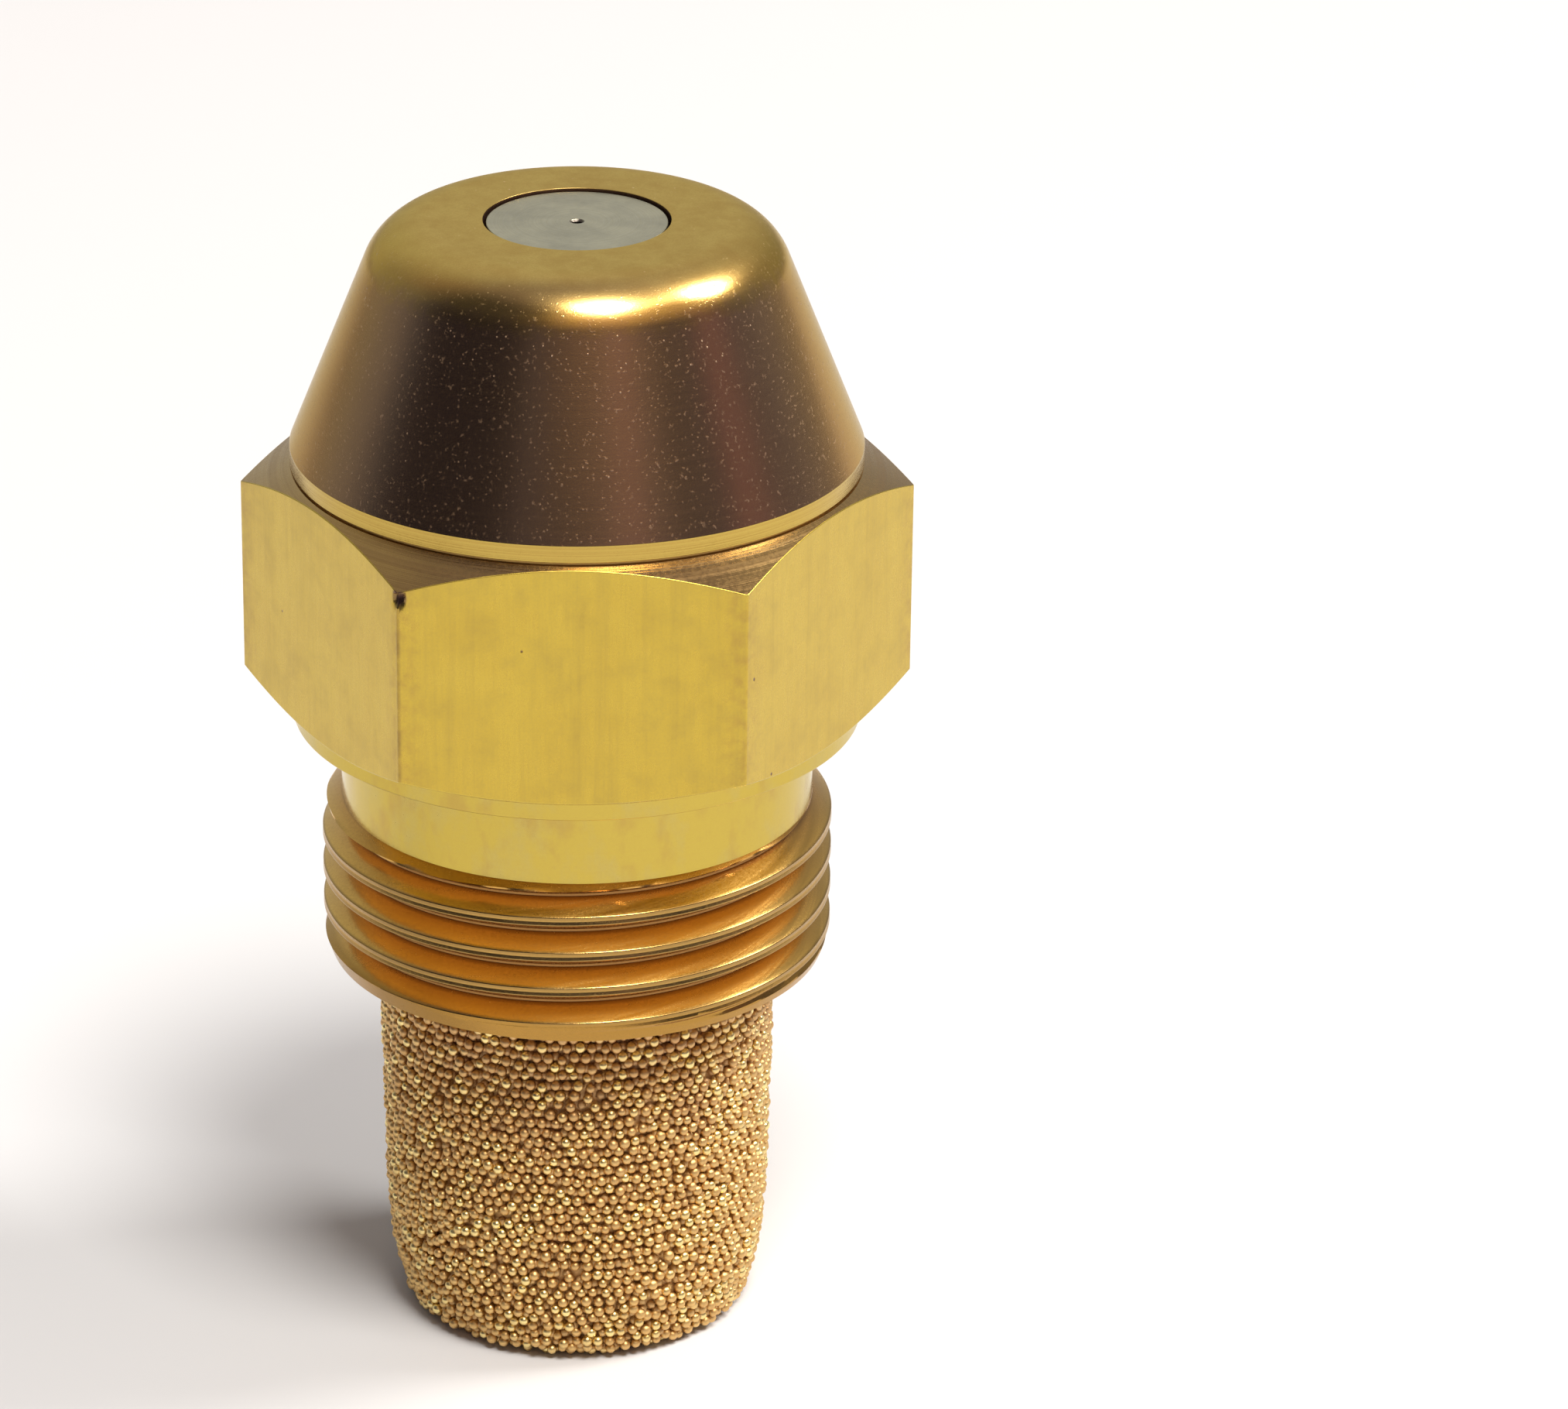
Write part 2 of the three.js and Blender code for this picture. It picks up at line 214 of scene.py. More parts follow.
class Nodes:
    """A short way to write a material's or the world's nodes."""

    def __init__(self, owner):
        owner.use_nodes = True
        self.tree = owner.node_tree
        self.tree.nodes.clear()

    def link(self, source, target):
        self.tree.links.new(source, target)

    def add(self, kind, inputs=(), **settings):
        node = self.tree.nodes.new("ShaderNode" + kind)
        for key, value in settings.items():
            setattr(node, key, value)
        for key, value in dict(inputs).items():
            if isinstance(value, bpy.types.NodeSocket):
                self.link(value, node.inputs[key])
            else:
                node.inputs[key].default_value = value
        return node

    def math(self, operation, a, b=0.0):
        return self.add("Math", {0: a, 1: b}, operation=operation).outputs[0]

    def ramp(self, value, stops):
        """A colour for a value from 0 to 1. The stops are (value, colour) pairs."""
        node = self.add("ValToRGB", {0: value})
        ramp = node.color_ramp
        ramp.interpolation = "EASE"
        for _ in stops[2:]:
            ramp.elements.new(0.5)
        for element, (at, color) in zip(ramp.elements, stops):
            element.position = at
            element.color = (*color, 1)
        return node.outputs["Color"]

    def place(self):
        """The point in millimetres, in the row frame."""
        at = self.add("TexCoord").outputs["Object"]
        return self.add("VectorMath", {0: at, "Scale": 1 / MM}, operation="SCALE").outputs[0]

    def noise(self, vector, scale, detail=3.0, rough=0.55, kind="3D"):
        node = self.add("TexNoise", {"Scale": scale, "Detail": detail, "Roughness": rough},
                        noise_dimensions=kind)
        self.link(vector, node.inputs["W" if kind == "1D" else "Vector"])
        return node.outputs["Fac"]

    def remap(self, value, low, high, to_low, to_high):
        return self.add("MapRange", {"Value": value, "From Min": low, "From Max": high,
                                     "To Min": to_low, "To Max": to_high}).outputs["Result"]

    def mix(self, share, a, b):
        node = self.add("Mix", data_type="RGBA")
        sockets = {i.identifier: i for i in node.inputs}
        result = next(o for o in node.outputs if o.identifier == "Result_Color")
        if isinstance(share, bpy.types.NodeSocket):
            self.link(share, sockets["Factor_Float"])
        else:
            sockets["Factor_Float"].default_value = share
        for socket, value in ((sockets["A_Color"], a), (sockets["B_Color"], b)):
            if isinstance(value, bpy.types.NodeSocket):
                self.link(value, socket)
            else:
                socket.default_value = (*value, 1)
        return result

    def bump(self, height, distance, strength=1.0, under=None):
        inputs = {"Height": height, "Distance": distance, "Strength": strength}
        if under is not None:
            inputs["Normal"] = under
        return self.add("Bump", inputs).outputs["Normal"]


class Metal(Nodes):
    """A metal's nodes, with its shader in place."""

    def __init__(self, name):
        self.material = bpy.data.materials.new(name)
        super().__init__(self.material)
        self.shader = self.add("BsdfPrincipled")
        self.shader.inputs["Metallic"].default_value = 1.0
        self.link(self.shader.outputs["BSDF"], self.add("OutputMaterial").inputs["Surface"])


def radius_and_height(n, at):
    """The distance from the nozzle's axis and the height, in millimetres."""
    parts = n.add("SeparateXYZ", {0: at}).outputs
    square = n.math("ADD", n.math("MULTIPLY", parts[0], parts[0]), n.math("MULTIPLY", parts[1], parts[1]))
    return n.math("SQRT", square), parts[2]


def ring_coordinate(n, at):
    """A number that is the same all round a turned surface, and changes along its faces, cones and sides."""
    radius, height = radius_and_height(n, at)
    return n.math("ADD", radius, n.math("MULTIPLY", height, 1.37))


def turned_metal(name, color, dark, rough, ring_depth, ring_scale, grain=0.0, stain=0.35, rough_swing=0.06,
                 line=0.16, cloud_scale=0.45, shaded_eye=0.0):
    """Metal cut on a lathe: fine rings, a soft stain and a light grain, and painted shade: a near-black
    colour inside the orifice's radius.
    """
    n = Metal(name)
    at = n.place()
    ring = ring_coordinate(n, at)
    fine = n.noise(ring, ring_scale, 4, 0.7, "1D")
    cloud = n.noise(at, cloud_scale, 4, 0.6)
    dust = n.noise(at, 9.0, 2, 0.5)
    shade = n.remap(cloud, 0.35, 0.7, 0.0, stain)
    base = n.mix(shade, color, dark)
    streak = n.remap(fine, 0.4, 0.65, 0.0, line)
    tone = n.mix(streak, base, dark)
    # painted shade: the orifice hole is painted near black inside the given radius
    if shaded_eye:
        radius, _ = radius_and_height(n, at)
        tone = n.mix(n.remap(radius, 0.9 * shaded_eye, 1.15 * shaded_eye, 1, 0), tone, (0.13, 0.11, 0.09))
    n.link(tone, n.shader.inputs["Base Color"])
    swing = n.math("ADD", n.remap(fine, 0.3, 0.7, -rough_swing, rough_swing),
                   n.remap(dust, 0.35, 0.65, -rough_swing / 2, rough_swing / 2))
    n.link(n.math("ADD", swing, rough), n.shader.inputs["Roughness"])
    normal = n.bump(fine, ring_depth * MM)
    if grain:
        normal = n.bump(n.noise(at, 22.0, 3, 0.6), grain * MM, under=normal)
    n.link(normal, n.shader.inputs["Normal"])
    return n.material


def nose_metal():
    """The nose: a blotchy satin top and a golden round, over a dark polished cone with dust and specks."""
    n = Metal("nose_brass")
    at = n.place()
    height = n.add("SeparateXYZ", {0: at}).outputs[2]
    uneven = n.remap(n.noise(at, 2.6, 4, 0.6), 0.3, 0.7, -0.16, 0.16)
    edge = n.remap(n.math("ADD", height, uneven), 30.95, 31.55, 0, 1)
    top = n.remap(height, 31.7, FACE_Z - 0.01, 0, 1)
    ring = ring_coordinate(n, at)
    fine = n.noise(ring, 9.0, 4, 0.7, "1D")
    cloud = n.remap(n.noise(at, 0.45, 4, 0.6), 0.35, 0.7, 0, 0.35)
    grain = n.noise(at, 22.0, 3, 0.6)
    large = n.add("TexVoronoi", {"Vector": at, "Scale": 1.1}, feature="F1").outputs["Distance"]
    tiny = n.add("TexVoronoi", {"Vector": at, "Scale": 4.2}, feature="F1").outputs["Distance"]
    some = n.remap(n.noise(at, 1.3, 2, 0.5), 0.4, 0.62, 0, 1)
    under_edge = n.math("MULTIPLY", n.remap(height, 29.6, 30.9, 0, 1), n.remap(height, 30.95, 31.3, 1, 0))
    some = n.math("ADD", some, n.math("MULTIPLY", under_edge, 1.3))
    dust = n.math("MAXIMUM", n.remap(large, 0.012, 0.04, 0.45, 0.0),
                  n.math("MULTIPLY", n.remap(tiny, 0.03, 0.13, 0.4, 0.0), some))
    speckle = n.remap(n.noise(at, 10.0, 2, 0.5), 0.62, 0.72, 0, 0.2)
    faint = n.math("MULTIPLY", speckle, n.remap(top, 0, 1, 1, 0))
    dust = n.math("MAXIMUM", dust, faint)
    cone = n.mix(cloud, (0.52, 0.315, 0.15), (0.42, 0.25, 0.12))
    cone = n.mix(n.remap(grain, 0.4, 0.65, 0, 0.25), cone, (0.4, 0.25, 0.15))
    gold = n.mix(cloud, (0.6, 0.385, 0.11), (0.5, 0.29, 0.08))
    gold = n.mix(n.remap(grain, 0.4, 0.65, 0, 0.3), gold, (0.42, 0.24, 0.08))
    blotch = n.remap(n.noise(at, 1.5, 5, 0.65), 0.38, 0.64, 0, 0.55)
    face = n.mix(n.remap(grain, 0.4, 0.65, 0, 0.5), (0.67, 0.48, 0.16), (0.53, 0.37, 0.11))
    face = n.mix(blotch, face, (0.52, 0.33, 0.1))
    tone = n.mix(top, n.mix(edge, cone, gold), face)
    n.link(n.mix(dust, tone, (0.5, 0.38, 0.3)), n.shader.inputs["Base Color"])
    n.link(n.remap(dust, 0, 1, 1, 0.2), n.shader.inputs["Metallic"])
    n.shader.inputs["Specular Tint"].default_value = (0.8, 0.76, 0.54, 1)
    rough = n.math("ADD", n.remap(top, 0, 1, 0.2, 0.36), n.remap(fine, 0.3, 0.7, -0.012, 0.012))
    n.link(n.math("ADD", rough, n.math("MULTIPLY", dust, 0.2)), n.shader.inputs["Roughness"])
    normal = n.bump(fine, 0.0006 * MM)
    normal = n.bump(grain, 0.0015 * MM, under=normal)
    n.link(n.bump(dust, 0.008 * MM, under=normal), n.shader.inputs["Normal"])
    return n.material


def neck_metal():
    """The smooth neck: clean turned brass with paler and browner smudges and hardly any lines."""
    n = Metal("neck_brass")
    at = n.place()
    ring = ring_coordinate(n, at)
    fine = n.noise(ring, 9.0, 4, 0.7, "1D")
    tall = n.add("VectorMath", {0: at, 1: (1, 1, 0.6)}, operation="MULTIPLY").outputs[0]
    smudge = n.noise(tall, 0.55, 6, 0.62)
    haze = n.noise(tall, 0.9, 5, 0.6)
    grain = n.noise(at, 16.0, 3, 0.6)
    base = n.mix(n.remap(smudge, 0.5, 0.62, 0, 0.55), (0.56, 0.42, 0.08), (0.52, 0.42, 0.14))
    base = n.mix(n.remap(haze, 0.55, 0.68, 0, 0.5), base, (0.45, 0.29, 0.08))
    base = n.mix(n.remap(fine, 0.45, 0.7, 0, 0.2), base, (0.54, 0.37, 0.08))
    n.link(n.mix(n.remap(grain, 0.45, 0.7, 0, 0.15), base, (0.45, 0.3, 0.08)), n.shader.inputs["Base Color"])
    rough = n.math("ADD", n.remap(smudge, 0.4, 0.62, 0.14, 0.26), n.remap(grain, 0.3, 0.7, -0.02, 0.03))
    n.link(rough, n.shader.inputs["Roughness"])
    normal = n.bump(fine, 0.0008 * MM)
    normal = n.bump(smudge, 0.01 * MM, under=normal)
    n.link(n.bump(grain, 0.001 * MM, under=normal), n.shader.inputs["Normal"])
    return n.material


def thread_metal():
    """The rolled thread: orange flanks with painted shade that darkens them into a brown root, duller crests
    and land.
    """
    n = Metal("thread_brass")
    at = n.place()
    radius, height = radius_and_height(n, at)
    fine = n.noise(ring_coordinate(n, at), 16.0, 4, 0.7, "1D")
    cloud = n.remap(n.noise(at, 0.5, 4, 0.6), 0.35, 0.7, 0, 0.4)
    grain = n.noise(at, 14.0, 3, 0.6)
    # painted shade: the flank is painted darker towards the root, where the ridges shade it
    flank = n.mix(n.remap(radius, 6.6, 7.05, 0, 1), (0.56, 0.3, 0.08), (0.7, 0.43, 0.11))
    flank = n.mix(cloud, flank, (0.52, 0.3, 0.08))
    crest = n.mix(n.remap(radius, 7.05, 7.11, 0, 1), flank, (0.38, 0.235, 0.075))
    crest = n.mix(n.remap(height, *LAND_TONE, 1, 0), crest, (0.43, 0.24, 0.055))
    # painted shade: a dark brown painted into the root
    tone = n.mix(n.remap(radius, 6.5, 6.62, 1, 0), crest, (0.3, 0.15, 0.05))
    n.link(n.mix(n.remap(grain, 0.42, 0.66, 0, 0.25), tone, (0.36, 0.2, 0.05)), n.shader.inputs["Base Color"])
    rough = n.math("ADD", n.remap(fine, 0.3, 0.7, 0.16, 0.26), n.remap(grain, 0.3, 0.7, -0.03, 0.05))
    n.link(rough, n.shader.inputs["Roughness"])
    normal = n.bump(fine, 0.0015 * MM)
    n.link(n.bump(grain, 0.002 * MM, under=normal), n.shader.inputs["Normal"])
    return n.material


def drawn_metal(name, color, dark, stain, rough, depth):
    """The hexagon's drawn faces: faint streaks along Z, sandy grain, soft stains, dark corners and pits."""
    n = Metal(name)
    at = n.place()
    stretched = n.add("VectorMath", {0: at, 1: (1, 1, 0.05)}, operation="MULTIPLY").outputs[0]
    streak = n.noise(stretched, 1.7, 6, 0.7)
    fine = n.noise(stretched, 12.0, 3, 0.6)
    grain = n.noise(at, 16.0, 3, 0.65)
    cloud = n.noise(at, 0.42, 5, 0.62)
    patch = n.noise(at, 1.1, 5, 0.62)
    blotch = n.noise(at, 3.4, 4, 0.6)
    pit = n.add("TexVoronoi", {"Vector": at, "Scale": 0.62}, feature="F1").outputs["Distance"]
    pit = n.remap(pit, 0.02, 0.035, 1, 0)
    radius, _ = radius_and_height(n, at)
    corner = n.math("MULTIPLY", n.remap(radius, 8.82, 9.2, 0, 1), n.remap(blotch, 0.42, 0.66, 0, 0.4))
    flat_at = n.add("VectorMath", {0: at, 1: (1, 1, 0)}, operation="MULTIPLY").outputs[0]
    notch = (HEX_CORNER * math.cos(NOTCH_ANGLE), HEX_CORNER * math.sin(NOTCH_ANGLE))
    aside = n.add("VectorMath", {0: flat_at, 1: (*notch, 0)}, operation="DISTANCE").outputs["Value"]
    line = n.math("MULTIPLY", n.remap(aside, 0.03, 0.1, 1, 0), n.remap(patch, 0.35, 0.65, 0.15, 0.75))
    dent = (*notch, HEX_CORNER_TOP - 0.15)
    near = n.add("VectorMath", {0: at, 1: dent}, operation="DISTANCE").outputs["Value"]
    near = n.remap(near, 0.2, 0.3, 1, 0)
    base = n.mix(n.remap(cloud, 0.4, 0.68, 0, 0.5), color, dark)
    base = n.mix(n.remap(patch, 0.5, 0.7, 0, 0.28), base, stain)
    base = n.mix(n.remap(streak, 0.5, 0.75, 0, 0.3), base, stain)
    base = n.mix(n.remap(fine, 0.45, 0.7, 0, 0.12), base, stain)
    base = n.mix(n.remap(grain, 0.45, 0.7, 0, 0.25), base, stain)
    base = n.mix(corner, base, (0.38, 0.22, 0.07))
    base = n.mix(line, base, (0.26, 0.16, 0.06))
    n.link(n.mix(n.math("MAXIMUM", pit, near), base, (0.18, 0.1, 0.07)), n.shader.inputs["Base Color"])
    swing = n.math("ADD", n.remap(streak, 0.3, 0.7, -0.03, 0.05), n.remap(fine, 0.3, 0.7, -0.02, 0.02))
    swing = n.math("ADD", swing, n.remap(patch, 0.35, 0.65, -0.03, 0.05))
    n.link(n.math("ADD", swing, rough), n.shader.inputs["Roughness"])
    normal = n.bump(streak, 0.6 * depth * MM)
    normal = n.bump(fine, 0.2 * depth * MM, under=normal)
    normal = n.bump(patch, 1.5 * depth * MM, under=normal)
    normal = n.bump(grain, 0.4 * depth * MM, under=normal)
    n.link(n.bump(pit, -0.01 * MM, under=normal), n.shader.inputs["Normal"])
    return n.material


def ball_bronze(name, bright, color, dark, metallic=1.0):
    """Bronze powder balls. Each has its own shine: a few are bright and polished, most are dull and brown.
    Higher up they are painted browner, a painted shadow under the thread's overhang.
    """
    n = Metal(name)
    at = n.place()
    n.shader.inputs["Metallic"].default_value = metallic
    shine = n.add("Attribute", attribute_name="shine").outputs["Fac"]
    cloud = n.noise(at, 0.6, 3, 0.6)
    fine = n.noise(at, 12.0, 3, 0.6)
    share = n.math("ADD", n.remap(fine, 0.3, 0.7, 0.0, 0.5), n.remap(cloud, 0.35, 0.65, 0.0, 0.4))
    height = n.add("SeparateXYZ", {0: at}).outputs[2]
    # painted shadow: darker brown towards the top, where the thread's overhang shades the filter
    painted_top_shadow = n.math("MULTIPLY", n.remap(height, 5.5, 10.5, 0, 0.55), n.remap(cloud, 0.3, 0.6, 0.5, 1))
    tone = n.mix(painted_top_shadow, n.mix(share, color, dark), (0.5, 0.28, 0.15))
    n.link(n.mix(n.remap(shine, 0.4, 1, 0, 1), tone, bright), n.shader.inputs["Base Color"])
    n.link(n.math("ADD", n.remap(shine, 0, 1, 0.5, 0.3), n.remap(fine, 0.3, 0.7, -0.05, 0.05)),
           n.shader.inputs["Roughness"])
    n.link(n.bump(n.noise(at, 14.0, 2, 0.6), 0.002 * MM), n.shader.inputs["Normal"])
    return n.material


NOSE = nose_metal()
BAND = turned_metal("band_brass", (0.54, 0.385, 0.09), (0.46, 0.3, 0.07), 0.2, 0.005, 11.0,
                    grain=0.001, line=0.6)
CHAMFER = turned_metal("chamfer_brass", (0.44, 0.28, 0.105), (0.28, 0.165, 0.07), 0.27, 0.016, 10.0,
                       grain=0.001, line=0.35)
FLAT = drawn_metal("hexagon_brass", (0.6, 0.43, 0.07), (0.54, 0.37, 0.06), (0.42, 0.3, 0.08), 0.28, 0.003)
NECK = neck_metal()
THREAD = thread_metal()
# painted shade: the walls in the gap round the disc are coloured near black
SHADED_GAP = turned_metal("gap_painted_shade", (0.13, 0.07, 0.045), (0.07, 0.04, 0.03), 0.5, 0.002, 10.0)
BORE = turned_metal("bore_brass", (0.42, 0.26, 0.08), (0.26, 0.14, 0.05), 0.36, 0.004, 10.0)
# the disc's orifice hole gets painted shade, near black
STEEL = turned_metal("disc_steel", (0.53, 0.5, 0.35), (0.38, 0.36, 0.26), 0.38, 0.0015, 12.0,
                     grain=0.004, stain=0.9, line=0.3, cloud_scale=1.1, shaded_eye=0.19)
INNER_STEEL = turned_metal("distributor_steel", (0.55, 0.54, 0.5), (0.38, 0.36, 0.33), 0.28, 0.004, 12.0)
SCREW = turned_metal("screw_brass", (0.8, 0.58, 0.2), (0.5, 0.3, 0.09), 0.26, 0.004, 12.0)
BALLS = ball_bronze("sintered_bronze", (0.97, 0.79, 0.34), (0.8, 0.55, 0.22), (0.62, 0.38, 0.15))
CORE = ball_bronze("sintered_core", (0.78, 0.54, 0.22), (0.7, 0.45, 0.18), (0.5, 0.3, 0.12), metallic=0.5)

# ---- nozzle body -------------------------------------------------------------------------------


def hexagon_columns(face_columns=36):
    """Angles round the body, closer together at the hexagon's corners, and the hexagon's radius at each."""
    arc_centre = (HALF_FLATS - HEX_EDGE_ROUND) / math.cos(math.pi / 6)
    half_arc = math.atan2(HEX_EDGE_ROUND * 0.5, arc_centre + HEX_EDGE_ROUND * math.cos(math.pi / 6))
    corner_angles = np.linspace(-half_arc, half_arc, 7)
    corner_radii = (arc_centre * np.cos(corner_angles)
                    + np.sqrt(HEX_EDGE_ROUND ** 2 - (arc_centre * np.sin(corner_angles)) ** 2))
    edge = math.pi / 6 - half_arc
    flat_angles = np.linspace(-edge, edge, face_columns)[1:-1]
    close = edge * np.array([0.994, 0.982, 0.965])
    flat_angles = np.concatenate([-close, flat_angles, close[::-1]])
    flat_radii = HALF_FLATS / np.cos(flat_angles)
    angles, radii = [], []
    for side in range(6):
        angles += [corner_angles + side * math.pi / 3, flat_angles + (side + 0.5) * math.pi / 3]
        radii += [corner_radii, flat_radii]
    angles, radii = np.concatenate(angles), np.concatenate(radii)
    return np.append(angles, angles[0] + 2 * math.pi), np.append(radii, radii[0])


def thread_profile(steps=4):
    """Heights and radii over one pitch of the thread: a rounded root and a crest of two small ridges."""
    flank = (CREST_RADIUS - ROOT_RADIUS) * math.tan(math.pi / 6)
    half = RIDGE_GAP / 2
    corners = np.array([[-PITCH / 2, ROOT_RADIUS], [-half - flank, ROOT_RADIUS], [-half, CREST_RADIUS],
                        [0, CREST_RADIUS - SEAM_DEPTH], [half, CREST_RADIUS], [half + flank, ROOT_RADIUS],
                        [PITCH / 2, ROOT_RADIUS]])
    rounded, _ = filleted(corners[:, None, :], [0, 0.12, 0.035, 0.05, 0.05, 0.16, 0], False, steps, 0)
    rounded = rounded[:, 0, :]
    out = [rounded[0]]
    for a, b in zip(rounded[:-1], rounded[1:]):
        pieces = max(1, int(np.ceil(np.linalg.norm(b - a) / PROFILE_STEP)))
        out += [a + (b - a) * i / pieces for i in range(1, pieces + 1)]
    return np.array(out[:-1])


def thread_rows(angles):
    """The thread from its top to its end face, as rows that follow the helix, trimmed by the end chamfers."""
    one = thread_profile()
    turns = int(np.ceil((THREAD_TOP - END_Z) / PITCH)) + 2
    rows = np.concatenate([one + [FRONT_CREST + k * PITCH, 0] for k in range(-2, turns)])
    lead = PITCH * (angles + math.pi / 2) / (2 * math.pi)
    heights = rows[:, None, 0] + lead[None, :]
    radii = np.repeat(rows[:, None, 1], len(angles), 1)
    land = THREAD_END_RADIUS + (heights - END_Z) * END_CHAMFER_SLOPE
    full = np.clip((LAND_HEIGHT - (heights - END_Z)) / LAND_FADE, 0, 1)
    radii = np.minimum(radii, land)
    radii = radii + (land - radii) * full * full * (3 - 2 * full)
    radii = np.minimum(radii, NECK_RADIUS + (THREAD_TOP - heights) * TOP_CHAMFER_SLOPE)
    above, below = heights >= THREAD_TOP, heights <= END_Z
    heights = np.clip(heights, END_Z, THREAD_TOP)
    radii = np.where(above, NECK_RADIUS, np.where(below, THREAD_END_RADIUS, radii))
    return np.stack([radii, heights], -1)[::-1]


def body_outline(angles, hexagon):
    """The body's closed section at each angle, with eased edges, and the surface that follows each point."""
    def top_at(radius):
        return HEX_CORNER_TOP + (HEX_CORNER - radius) * math.tan(HEX_TOP_CHAMFER)

    def bottom_at(radius):
        return HEX_CORNER_BOTTOM - (HEX_CORNER - radius) * math.tan(HEX_BOTTOM_CHAMFER)

    centre = np.array([FACE_RADIUS, FACE_Z - NOSE_ROUND])
    to_band = np.array([BAND_RADIUS, BAND_TOP]) - centre
    tangent = math.atan2(to_band[1], to_band[0]) + math.acos(NOSE_ROUND / np.linalg.norm(to_band))
    round_angles = np.linspace(math.pi / 2, tangent, 25)
    nose = [(*(centre + NOSE_ROUND * np.array([math.cos(a), math.sin(a)])), 0, "nose") for a in round_angles]
    corners = [
        (SOCKET_RADIUS, END_Z, 0, "bore"),
        (SOCKET_RADIUS, SOCKET_TOP, 0, "bore"),
        (SCREW_BORE_RADIUS, SOCKET_TOP, 0.1, "bore"),
        (SCREW_BORE_RADIUS, SCREW_BORE_TOP, 0, "bore"),
        (DISC_BORE_RADIUS, SCREW_BORE_TOP + SCREW_BORE_RADIUS - DISC_BORE_RADIUS, 0, "bore"),
        # the two walls of the gap round the disc take the near-black painted-shade material
        (DISC_BORE_RADIUS, DISC_SHOULDER, 0, "gap"),
        (NOSE_HOLE_RADIUS, DISC_SHOULDER, 0, "gap"),
        (NOSE_HOLE_RADIUS, FACE_Z, 0.012, "nose"),
        (3.0, FACE_Z, 0, "nose"),
        (3.5, FACE_Z, 0, "nose"),
        *nose,
        (BAND_RADIUS, BAND_TOP, 0.03, "band"),
        (BAND_RADIUS, BAND_BOTTOM, 0.02, "band"),
        (GROOVE_RADIUS, BAND_BOTTOM - GROOVE_REACH, 0, "bore"),
        (GROOVE_RADIUS, top_at(BAND_RADIUS) + GROOVE_REACH, 0, "bore"),
        (BAND_RADIUS, top_at(BAND_RADIUS), 0.03, "chamfer"),
        (hexagon, top_at(hexagon), 0.03, "flat"),
        *[(hexagon, top_at(hexagon) - drop, 0, "flat") for drop in NOTCH_ROWS],
        (hexagon, bottom_at(hexagon), 0.03, "neck"),
        (COLLAR_RADIUS, bottom_at(COLLAR_RADIUS), 0.02, "neck"),
        (COLLAR_RADIUS, COLLAR_BOTTOM, 0.04, "neck"),
        (NECK_RADIUS, COLLAR_BOTTOM, 0.1, "neck"),
        (NECK_RADIUS, THREAD_TOP + NECK_END_GAP, 0, "neck"),
    ]
    columns = len(angles)
    outline = np.array([[np.broadcast_to(r, columns), np.broadcast_to(z, columns)] for r, z, _, _ in corners])
    outline = outline.transpose(0, 2, 1)
    # the thread closes the section, so the first and last corner of this open stretch stay sharp
    points, owners = filleted(outline, [fillet for _, _, fillet, _ in corners], False)
    kinds = [corners[k][3] for k in owners]
    thread = thread_rows(angles)
    return np.concatenate([points, thread]), kinds + ["thread"] * (len(thread) - 1) + ["bore"]


def nozzle_body():
    angles, hexagon = hexagon_columns()
    outline, kinds = body_outline(angles, hexagon)
    points = around(outline, angles)
    rows, columns = points.shape[:2]
    faces, face_rows = grid_faces(rows, columns, True, False)
    notch = np.array([HEX_CORNER * math.cos(NOTCH_ANGLE), HEX_CORNER * math.sin(NOTCH_ANGLE), HEX_CORNER_TOP])
    aside = np.linalg.norm(points[..., :2] - notch[:2], axis=-1) / NOTCH_SIZE
    below = (notch[2] - points[..., 2]) / NOTCH_HEIGHT
    dent = np.clip(1 - aside ** 2, 0, 1) * np.clip(1 - below ** 2, 0, 1)
    dent = dent * (points[..., 2] < notch[2] + NOTCH_REACH)
    points[..., :2] -= (dent * NOTCH_DEPTH)[..., None] * notch[:2] / HEX_CORNER
    looks = {"bore": BORE, "nose": NOSE, "band": BAND, "chamfer": CHAMFER, "flat": FLAT,
             "neck": NECK, "thread": THREAD, "gap": SHADED_GAP}
    order = list(looks)
    tags = np.array([order.index(k) for k in kinds])[face_rows]
    points, faces, tags = welded(points.reshape(-1, 3), faces, tags)
    return mesh_object("turned_body", points, [f[::-1] for f in faces], tags, looks.values())


# ---- turned pieces -----------------------------------------------------------------------------


def turned_piece(name, corners, material, columns=240, closed=True):
    """A round piece from (radius, height, fillet) corners. An open outline starts and ends on the axis."""
    angles = np.linspace(0, 2 * math.pi, columns, endpoint=False)
    outline = np.array([[np.full(columns, r), np.full(columns, z)] for r, z, _ in corners]).transpose(0, 2, 1)
    points, _ = filleted(outline, [f for _, _, f in corners], closed)
    points = around(points, angles)
    faces, rows = grid_faces(len(points), columns, closed, True)
    points, faces, _ = welded(points.reshape(-1, 3), faces, rows)
    return mesh_object(name, points, faces, materials=[material])


def orifice_disc():
    face, back = DISC_HIGH[2], DISC_LOW[2]
    flange = DISC_HIGH[0]
    shoulder = DISC_SHOULDER - DISC_SHOULDER_GAP
    return turned_piece("lapped_disc", [
        (DISC_RECESS_RADIUS, back, 0.03),
        (flange, back, 0.05),
        (flange, shoulder, 0.04),
        (DISC_NOSE_RADIUS, shoulder, 0.04),
        (DISC_NOSE_RADIUS, face, 0.03),
        (1.6, face, 0),
        (0.8, face, 0),
        (MOUTH_RADIUS, face, 0.02),
        (ORIFICE_RADIUS, face - MOUTH_DEPTH, 0.01),
        (ORIFICE_RADIUS, ORIFICE_BOTTOM, 0.02),
        (SWIRL_RADIUS, SWIRL_TOP, 0.02),
        (SWIRL_RADIUS, SWIRL_BOTTOM, 0.02),
    ], STEEL)


# ---- sintered filter ---------------------------------------------------------------------------


